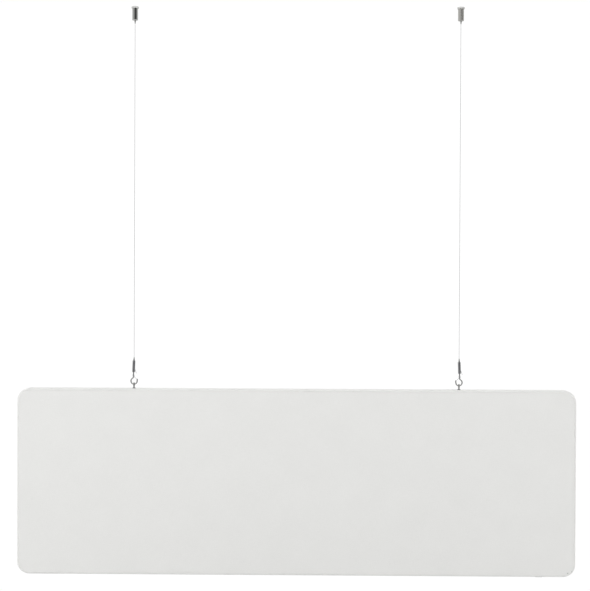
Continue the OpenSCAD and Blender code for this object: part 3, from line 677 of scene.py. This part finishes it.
def add(tree, kind, inputs=None, **settings):
    """Adds a shader node, sets its options, and links or sets its sockets."""
    node = tree.nodes.new("ShaderNode" + kind)
    for name, value in settings.items():
        setattr(node, name, value)
    for socket, value in (inputs or {}).items():
        if isinstance(value, bpy.types.NodeSocket):
            tree.links.new(value, node.inputs[socket])
        else:
            node.inputs[socket].default_value = value
    return node


def calc(tree, operation, *values):
    """The result of a Math node."""
    return add(tree, "Math", dict(enumerate(values)), operation=operation).outputs[0]


def mix(tree, share, low, high):
    """A number between two others."""
    return add(tree, "Mix", {0: share, 2: low, 3: high}, data_type="FLOAT").outputs[0]


def blend(tree, share, first, second):
    """A colour between two hex colours."""
    return add(tree, "Mix", {0: share, 6: linear(first), 7: linear(second)},
               data_type="RGBA").outputs[2]


def start_finish(name, constants):
    """A material with a Principled shader, and the constants on its sockets."""
    made = bpy.data.materials.new(name)
    made.use_nodes = True
    shader = made.node_tree.nodes["Principled BSDF"]
    for socket, value in constants.items():
        shader.inputs[socket].default_value = value
    return made, made.node_tree, shader


def link_up(tree, shader, colour=None, roughness=None, height=None, depth=0.0, strength=1.0):
    """Joins a pattern's colour, roughness and height to the shader."""
    if colour is not None:
        tree.links.new(colour, shader.inputs["Base Color"])
    if roughness is not None:
        tree.links.new(roughness, shader.inputs["Roughness"])
    if height is not None:
        bump = add(tree, "Bump", {"Height": height, "Distance": depth, "Strength": strength})
        tree.links.new(bump.outputs["Normal"], shader.inputs["Normal"])


finishes = {}

# %% [markdown]
# ## Woven polyester
# Acoustic panels are covered in a plain weave of matt spun polyester, open enough to let
# sound through. Threads lie about 0.9 mm apart, and each crossing shows the warp or the
# weft on top, like a chess board of short ridges. To the eye the cloth is an even, matt
# off-white with a faint life in it: single threads a touch darker or lighter, and a soft
# fuzz that lightens it where it turns away.

# %% Weave a cloth
def woven(name, pitch, light, dark, bump, constants):
    """Plain weave in the piece's own UV map: returns the finished material."""
    made, tree, shader = start_finish(name, constants)
    place = add(tree, "UVMap", uv_map="weave")
    scaled = add(tree, "Mapping", {"Vector": place.outputs["UV"],
                                   "Scale": (math.pi / pitch, math.pi / pitch, 0)})
    parts = add(tree, "SeparateXYZ", {0: scaled.outputs[0]})
    ridges = []
    for axis in "XY":
        ridges.append(calc(tree, "ABSOLUTE", calc(tree, "SINE", parts.outputs[axis])))
    laid = []
    for across, along in (ridges, ridges[::-1]):
        laid.append(calc(tree, "MULTIPLY", across, calc(tree, "SQRT", along)))
    board = add(tree, "TexChecker", {"Vector": scaled.outputs[0], "Scale": 1 / math.pi})
    height = mix(tree, board.outputs["Fac"], *laid)
    slubs = []
    for stretch in ((1, 0.04, 1), (0.04, 1, 1)):
        drawn = add(tree, "Mapping", {"Vector": place.outputs["UV"], "Scale": stretch})
        slubs.append(add(tree, "TexNoise", {"Vector": drawn.outputs[0], "Scale": 1 / pitch,
                                            "Detail": 2.0}).outputs["Fac"])
    cloud = add(tree, "TexNoise", {"Vector": place.outputs["UV"], "Scale": 9.0, "Detail": 2.0})
    life = mix(tree, 0.25, mix(tree, board.outputs["Fac"], *slubs), cloud.outputs["Fac"])
    shade = add(tree, "MapRange", {"Value": life, "From Min": 0.3, "From Max": 0.7})
    # Painted shade: the colour is darkened by up to 7% where the weave is low, between the
    # threads.
    painted_gap_shade = add(tree, "MapRange", {"Value": height, "From Min": 0.0, "From Max": 0.5,
                                  "To Min": 0.93, "To Max": 1.0})
    colour = add(tree, "VectorMath", {0: blend(tree, shade.outputs[0], dark, light),
                                      1: painted_gap_shade.outputs[0]}, operation="MULTIPLY")
    link_up(tree, shader, colour.outputs[0], height=height, depth=bump, strength=0.6)
    return made


finishes["cover_fabric"] = woven(
    "woven_polyester_cloth", 0.9 * MM, "E9E9E7", "E2E2E0", 0.12 * MM,
    {"Roughness": 0.92, "Sheen Weight": 0.12, "Sheen Roughness": 0.5, "Specular IOR Level": 0.25},
)
print("cloth of", len(finishes["cover_fabric"].node_tree.nodes), "nodes")

# %% [markdown]
# The zip's tape in the model has no UV map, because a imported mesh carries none. Its
# herringbone is worked out from Object coordinates instead: short slanted ridges that
# change direction every 1.6 mm across the tape.

# %% Weave the zip's tape
made, tree, shader = start_finish("herringbone_tape", {
    "Roughness": 0.85, "Sheen Weight": 0.1, "Specular IOR Level": 0.3})
place = add(tree, "TexCoord").outputs["Object"]
parts = add(tree, "SeparateXYZ", {0: place})
slant = calc(tree, "ADD", parts.outputs["X"], calc(tree, "PINGPONG", parts.outputs["Y"], 1.6 * MM))
rib = calc(tree, "SINE", calc(tree, "MULTIPLY", slant, 2 * math.pi / (0.7 * MM)))
tone = add(tree, "MapRange", {"Value": rib, "From Min": -1.0}).outputs[0]
link_up(tree, shader, blend(tree, tone, "D2D3CF", "E0E1DD"), height=tone, depth=0.1 * MM,
        strength=0.7)
finishes["zip_tape_weave"] = made

# %% [markdown]
# Sewing thread is spun polyester, two plies twisted together, so its ridges slant across
# the thread every 0.5 mm. It is the cover's colour, but is painted a light grey, darker than
# the cover: painted shade for the small shadow each stitch lies in, which shows as the faint
# marks at the panel's lower right corner. The grey is painted darkest in the grooves between
# the plies, which is painted shade too.

# %% Spin the thread
def wave_scale(long):
    """The Scale that gives a Wave texture bands of a length: it counts in twentieths."""
    return 2 * math.pi / (20 * long)


made, tree, shader = start_finish("sewing_thread", {
    "Roughness": 0.6, "Sheen Weight": 0.15, "Specular IOR Level": 0.35})
place = add(tree, "TexCoord").outputs["Object"]
twist = add(tree, "TexWave", {"Vector": place, "Scale": wave_scale(0.5 * MM),
                              "Distortion": 0.0}, bands_direction="DIAGONAL").outputs["Fac"]
# Painted shade: the grey stands in for the shadow each stitch lies in, darkest in the ply grooves.
link_up(tree, shader, blend(tree, twist, "8E8F8B", "B9BAB6"), height=twist, depth=0.05 * MM)
finishes["thread"] = made

# %% [markdown]
# ## Wadding and pressed slab
# Both are crimped white polyester fibre. Lofted wadding is loose: a tangle that shows as
# soft clouds a few millimetres across. A slab is the same fibre, pressed and fused, so it
# is a finer tangle, and darker.

# %% Fluff the fibres
for slot_name, name, size, light, dark, depth in (
    ("polyester_wadding", "lofted_wadding", 6 * MM, "F2F3F1", "E2E4E1", 0.8 * MM),
    ("polyester_slab", "pressed_slab", 3 * MM, "DADBD8", "C6C8C4", 0.3 * MM),
):
    made, tree, shader = start_finish(name, {
        "Roughness": 1.0, "Sheen Weight": 0.4, "Sheen Roughness": 0.6, "Specular IOR Level": 0.1})
    place = add(tree, "TexCoord").outputs["Object"]
    tangle = add(tree, "TexNoise", {"Vector": place, "Scale": 1 / size, "Detail": 6.0,
                                    "Roughness": 0.65, "Distortion": 1.5})
    fibre = tangle.outputs["Fac"]
    link_up(tree, shader, blend(tree, fibre, dark, light), height=fibre, depth=depth)
    finishes[slot_name] = made

# %% [markdown]
# ## Pine and beech
# The frame is planed pine: pale yellow early wood with darker late wood, as growth rings
# about 3 mm apart that run along each board. The rails' boards lie along X, and the stiles'
# along Z, so two finishes differ only in the way the grain runs. The dowels are beech,
# closer and pinker, with short dark flecks.

# %% Plane the wood
def wood(name, rings, stretch, light, dark, fleck, roughness):
    """Growth rings drawn out along one axis, with fine pores in them."""
    made, tree, shader = start_finish(name, {"Specular IOR Level": 0.35})
    place = add(tree, "TexCoord").outputs["Object"]
    drawn = add(tree, "Mapping", {"Vector": place, "Scale": stretch})
    bend = add(tree, "TexNoise", {"Vector": drawn.outputs[0], "Scale": 25.0, "Detail": 2.0})
    moved = add(tree, "VectorMath", {0: bend.outputs["Color"], 1: (0.01, 0.01, 0.01),
                                     2: drawn.outputs[0]}, operation="MULTIPLY_ADD")
    ring = add(tree, "TexWave", {"Vector": moved.outputs[0], "Scale": wave_scale(rings),
                                 "Distortion": 1.5, "Detail": 2.0, "Detail Scale": 2.0},
               bands_direction="Y", wave_profile="SAW")
    pores = add(tree, "TexNoise", {"Vector": drawn.outputs[0], "Scale": 1 / fleck, "Detail": 3.0})
    tone = mix(tree, 0.3, ring.outputs["Fac"], pores.outputs["Fac"])
    dull = add(tree, "MapRange", {"Value": tone, "To Min": roughness,
                                  "To Max": roughness + 0.12})
    link_up(tree, shader, blend(tree, tone, light, dark), dull.outputs[0],
            pores.outputs["Fac"], 0.1 * MM, 0.5)
    return made


for slot_name, name, grain in (("pine", "planed_pine_rails", (0.06, 1, 1)),
                               ("pine_stiles", "planed_pine_stiles", (1, 1, 0.06))):
    finishes[slot_name] = wood(name, 3 * MM, grain, "E6C994", "C99A5B", 0.8 * MM, 0.6)
finishes["beech"] = wood("turned_beech", 1.5 * MM, (0.1, 1, 1), "D9B48A", "BC8F63", 0.5 * MM, 0.5)

# %% [markdown]
# ## Metals
# A metal keeps the default IOR, is fully metallic, and differs by its colour, by how rough
# its surface is, and by the marks of how it was made. Chrome plating on turned brass is a
# mirror with faint rings from the lathe. The right barrel reads softer in the photograph
# than the left one, so its chrome is brushed, and its colour is painted darker and warmer
# than the left one's: painted shade on the same chrome. Both flanges are satin and even,
# and painted lighter than the barrels' chrome: painted light.
# Nickel is darker and softer. Drawn wire has fine lines along it, and a polished ball has
# almost nothing. Finger marks and handling leave slow changes of roughness.

# %% Plate and turn the metal
def metal(name, colour, second, roughness, uneven, marks, spacing, depth):
    """Metal with lathe rings or draw lines: marks is the stretch of the pattern."""
    made, tree, shader = start_finish(name, {"Metallic": 1.0})
    place = add(tree, "TexCoord").outputs["Object"]
    drawn = add(tree, "Mapping", {"Vector": place, "Scale": marks})
    line = add(tree, "TexNoise", {"Vector": drawn.outputs[0], "Scale": 1 / spacing,
                                  "Detail": 3.0, "Roughness": 0.6})
    touch = add(tree, "TexNoise", {"Vector": place, "Scale": 1 / (4 * MM), "Detail": 3.0})
    worn = mix(tree, 0.5, touch.outputs["Fac"], line.outputs["Fac"])
    dull = add(tree, "MapRange", {"Value": worn, "From Min": 0.3, "From Max": 0.7,
                                  "To Min": roughness, "To Max": roughness + uneven})
    link_up(tree, shader, blend(tree, touch.outputs["Fac"], colour, second), dull.outputs[0],
            line.outputs["Fac"], depth, 0.5)
    return made


ALONG_Z, RINGS, ALL_WAYS = (1, 1, 0.05), (0.02, 0.02, 1), (1, 1, 1)
for slot_name, name, *settings in (
    ("chromed_brass", "chrome_on_turned_brass", "C3C4C1", "BABBB9", 0.07, 0.1,
     RINGS, 0.25 * MM, 0.004 * MM),
    # Painted shade and light: the right barrel's chrome is painted darker, and the flanges'
    # lighter, than the left barrel's chrome.
    ("brushed_chrome", "brushed_chrome_on_brass", "BBBAB6", "B3B2AE", 0.3, 0.1,
     RINGS, 0.25 * MM, 0.004 * MM),
    ("satin_chrome", "satin_chrome_on_brass", "DCDCDA", "D4D4D2", 0.5, 0.1,
     RINGS, 0.3 * MM, 0.004 * MM),
    ("nickelled_steel", "nickel_on_steel", "9E9E9D", "8E8E8D", 0.22, 0.16,
     ALL_WAYS, 0.6 * MM, 0.003 * MM),
    ("turned_steel", "turned_steel", "9B9B9D", "8C8C8F", 0.22, 0.12,
     RINGS, 0.3 * MM, 0.004 * MM),
    ("steel_wire", "drawn_steel_wire", "B6B8BA", "A4A6A8", 0.28, 0.12,
     ALONG_Z, 0.15 * MM, 0.01 * MM),
    ("spring_steel", "spring_steel", "9A9B9E", "86878A", 0.25, 0.15,
     ALL_WAYS, 0.3 * MM, 0.005 * MM),
    ("ball_steel", "polished_ball_steel", "C2C3C4", "BCBDBE", 0.04, 0.04,
     ALL_WAYS, 1 * MM, 0.001 * MM),
    ("brass", "cut_brass", "DDBB6A", "CFA95A", 0.2, 0.15,
     RINGS, 0.3 * MM, 0.01 * MM),
):
    finishes[slot_name] = metal(name, *settings)

# %% [markdown]
# ## Moulded zip teeth
# The teeth are moulded acetal, dyed to the cloth: a smooth, slightly waxy plastic whose
# skin shows very fine orange peel.

# %% Mould the plastic
made, tree, shader = start_finish("moulded_acetal", {"IOR": 1.48, "Specular IOR Level": 0.5})
place = add(tree, "TexCoord").outputs["Object"]
peel = add(tree, "TexNoise", {"Vector": place, "Scale": 1 / (0.5 * MM),
                              "Detail": 2.0}).outputs["Fac"]
dull = add(tree, "MapRange", {"Value": peel, "To Min": 0.32, "To Max": 0.5})
link_up(tree, shader, blend(tree, peel, "D6D7D3", "E0E1DD"), dull.outputs[0], peel,
        0.02 * MM, 0.5)
finishes["zip_nylon"] = made

# %% [markdown]
# ## Dress every part
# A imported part's material carries the name of its slot in the record, so it is swapped for
# the finish of that name, except where a part has a finish of its own: the stiles' upright
# grain, the flanges and the right barrel. New pieces take theirs from the slot that they
# were given, and the stitches take the thread.

# %% Put the finishes on
OWN = {"end_stiles": "pine_stiles", "centre_stile": "pine_stiles",
       "left_ceiling_base": "satin_chrome", "right_ceiling_base": "satin_chrome",
       "right_barrel": "brushed_chrome"}
STITCHES = ("corner_tack", "left_eyelet", "right_eyelet", "zip_topstitch")
for name in frame["nodes"]:
    for held in bpy.data.objects[name].material_slots:
        held.material = finishes[OWN.get(name, held.material.name.split(".")[0])]
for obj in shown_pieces():
    if obj.name not in frame["nodes"]:
        obj.data.materials.clear()
        obj.data.materials.append(
            finishes["thread" if obj.name in STITCHES else obj["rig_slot"]])

# %% [markdown]
# ## Studio
# The photograph has a pure white ground and soft light from all round. The left barrel
# mirrors the room as bright sides and a dark stripe right of the middle. So the world is
# white to the camera, and to everything else a bright tent. TENT gives its light from
# straight below to straight above. In a belt of nearly level directions ROOM gives it
# instead, by the degrees from the panel's front, which faces the camera, round to the
# right of the picture. A soft lamp at the left gives the slow fall of light across the
# cloth. A pale round floor lies below. It fades out before its rim, and is open from
# underneath, so the white ground goes on behind it without an edge.

# %% Light the tent
scene = bpy.context.scene
scene.view_settings.view_transform = "Standard"
world = bpy.data.worlds.new("tent")
scene.world = world
world.use_nodes = True
tree = world.node_tree
tree.nodes.clear()
way = add(tree, "TexCoord").outputs["Generated"]
parts = add(tree, "SeparateXYZ", {0: way})
back = calc(tree, "MULTIPLY", parts.outputs["Y"], -1.0)
turn = calc(tree, "DEGREES", calc(tree, "ARCTAN2", parts.outputs["X"], back))

ROOM = [(-180, 1.0), (-110, 0.9), (-55, 0.6), (-12, 0.3), (12, 0.05), (50, 0.05), (75, 0.4),
        (115, 0.9), (180, 1.0)]
TENT = [(-1, 0.4), (-0.2, 0.5), (0.35, 0.84), (0.7, 0.64), (1, 0.12)]
BRIGHT, WHITE = 2.35, 1.02
BELT = ((-18, -8), (20, 34))


def ramp(tree, value, low, high, levels):
    """Grey levels between two ends of a value, at places measured in it."""
    at = add(tree, "MapRange", {"Value": value, "From Min": low, "From Max": high})
    made = add(tree, "ValToRGB", {"Fac": at.outputs[0]})
    stops = made.color_ramp.elements
    while len(stops) < len(levels):
        stops.new(0.5)
    for stop, (place, light) in zip(stops, levels):
        stop.position = (place - low) / (high - low)
        stop.color = (light, light, light, 1)
    return made.outputs["Color"]


room = ramp(tree, turn, -180, 180, ROOM)
tent = calc(tree, "MULTIPLY", ramp(tree, parts.outputs["Z"], -1, 1, TENT),
            calc(tree, "MULTIPLY_ADD", back, 0.5 * BRIGHT, BRIGHT))
belt = []
for start, end in (BELT[0], reversed(BELT[1])):
    belt.append(add(tree, "MapRange", {
        "Value": parts.outputs["Z"], "From Min": math.sin(math.radians(start)),
        "From Max": math.sin(math.radians(end))}, interpolation_type="SMOOTHSTEP").outputs[0])
lit = mix(tree, calc(tree, "MULTIPLY", *belt), tent, room)
seen = mix(tree, add(tree, "LightPath").outputs["Is Camera Ray"], lit, WHITE)
sky = add(tree, "Background", {"Color": (1, 1, 1, 1), "Strength": seen})
tree.links.new(sky.outputs[0], add(tree, "OutputWorld").inputs[0])

# %% Hang the lamp and lay the floor
lamp = bpy.data.lights.new("soft_lamp", "AREA")
lamp.shape, lamp.size, lamp.size_y, lamp.energy = "RECTANGLE", 1.6, 1.2, 5.0
soft_lamp = new_object("soft_lamp", lamp)
soft_lamp.location, aim = (-2.0, -2.2, -0.9), Vector((-0.5, 0, -1.5))
soft_lamp.rotation_euler = (aim - soft_lamp.location).to_track_quat("-Z", "Y").to_euler()
soft_lamp.visible_glossy = False

FLOOR_Z, FLOOR_R, FADES = -2.7, 2.6, (1.0, 2.2)
made = bmesh.new()
bmesh.ops.create_circle(made, segments=96, radius=FLOOR_R, cap_ends=True,
                        matrix=Matrix.Translation((0, 0, FLOOR_Z)))
floor = new_object("floor", mesh_of("floor", made))

made = bpy.data.materials.new("pale_floor")
made.use_nodes = True
tree = made.node_tree
tree.nodes.clear()
place = add(tree, "TexCoord").outputs["Object"]
flat = add(tree, "VectorMath", {0: place, 1: (1, 1, 0)}, operation="MULTIPLY")
far = add(tree, "VectorMath", {0: flat.outputs[0]}, operation="LENGTH")
fade = add(tree, "MapRange", {"Value": far.outputs["Value"], "From Min": FADES[0],
                              "From Max": FADES[1]}, interpolation_type="SMOOTHSTEP")
matt = add(tree, "BsdfDiffuse", {"Color": linear("E0E0DF")})
under = add(tree, "NewGeometry").outputs["Backfacing"]
open_air = calc(tree, "MAXIMUM", fade.outputs[0], under)
clear = add(tree, "BsdfTransparent")
shown = add(tree, "MixShader", {0: open_air, 1: matt.outputs[0], 2: clear.outputs[0]})
tree.links.new(shown.outputs[0], add(tree, "OutputMaterial").inputs[0])
floor.data.materials.append(made)
